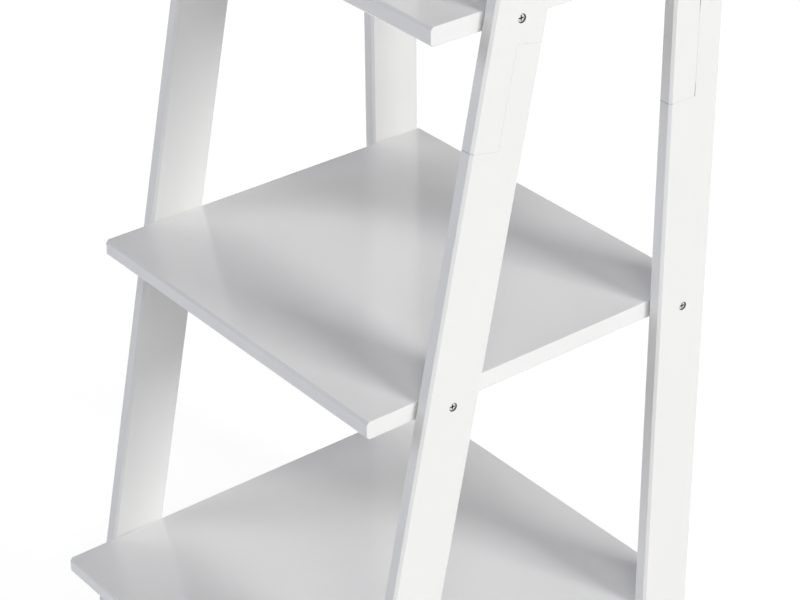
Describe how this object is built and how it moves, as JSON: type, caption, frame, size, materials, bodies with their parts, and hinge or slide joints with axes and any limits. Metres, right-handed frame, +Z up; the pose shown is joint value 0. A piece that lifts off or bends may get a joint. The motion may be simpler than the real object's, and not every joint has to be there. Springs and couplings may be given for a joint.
{
  "type": "ladder bookcase",
  "caption": "Free-standing A-frame ladder bookcase in white painted board: shelves that grow deeper towards the floor, held between upright rear posts and leaning front posts.",
  "frame": {"origin": "on the floor, under the middle of the bookcase's width and depth", "axes": "+Z up, +X to the right seen from the front, +Y to the back; the front faces -Y"},
  "size_m": [0.4506, 0.462, 1.55],
  "materials": {
    "shelf_paint": "satin white paint on fibreboard",
    "post_paint": "satin white paint, brushed along the post",
    "zinc_screw": "zinc plated",
    "beech_dowel": "bare beech"
  },
  "bodies": {
    "root": {"bottom_shelf": "shelf_paint", "second_shelf": "shelf_paint", "third_shelf": "shelf_paint", "fourth_shelf": "shelf_paint", "top_shelf": "shelf_paint", "left_front_post_lower": "post_paint", "left_front_post_upper": "post_paint", "left_rear_post_lower": "post_paint", "left_rear_post_upper": "post_paint", "right_front_post_lower": "post_paint", "right_front_post_upper": "post_paint", "right_rear_post_lower": "post_paint", "right_rear_post_upper": "post_paint", "bottom_shelf_screw_left_front": "zinc_screw", "bottom_shelf_screw_left_rear": "zinc_screw", "bottom_shelf_screw_right_front": "zinc_screw", "bottom_shelf_screw_right_rear": "zinc_screw", "second_shelf_screw_left_front": "zinc_screw", "second_shelf_screw_left_rear": "zinc_screw", "second_shelf_screw_right_front": "zinc_screw", "second_shelf_screw_right_rear": "zinc_screw", "third_shelf_screw_left_front": "zinc_screw", "third_shelf_screw_left_rear": "zinc_screw", "third_shelf_screw_right_front": "zinc_screw", "third_shelf_screw_right_rear": "zinc_screw", "fourth_shelf_screw_left_front": "zinc_screw", "fourth_shelf_screw_left_rear": "zinc_screw", "fourth_shelf_screw_right_front": "zinc_screw", "fourth_shelf_screw_right_rear": "zinc_screw", "top_shelf_screw_left_front": "zinc_screw", "top_shelf_screw_left_rear": "zinc_screw", "top_shelf_screw_right_front": "zinc_screw", "top_shelf_screw_right_rear": "zinc_screw", "left_front_lap_screw_lower": "zinc_screw", "left_front_lap_screw_upper": "zinc_screw", "left_rear_lap_screw_lower": "zinc_screw", "left_rear_lap_screw_upper": "zinc_screw", "right_front_lap_screw_lower": "zinc_screw", "right_front_lap_screw_upper": "zinc_screw", "right_rear_lap_screw_lower": "zinc_screw", "right_rear_lap_screw_upper": "zinc_screw", "left_front_lap_dowel": "beech_dowel", "left_rear_lap_dowel": "beech_dowel", "right_front_lap_dowel": "beech_dowel", "right_rear_lap_dowel": "beech_dowel"}
  },
  "joints": []
}
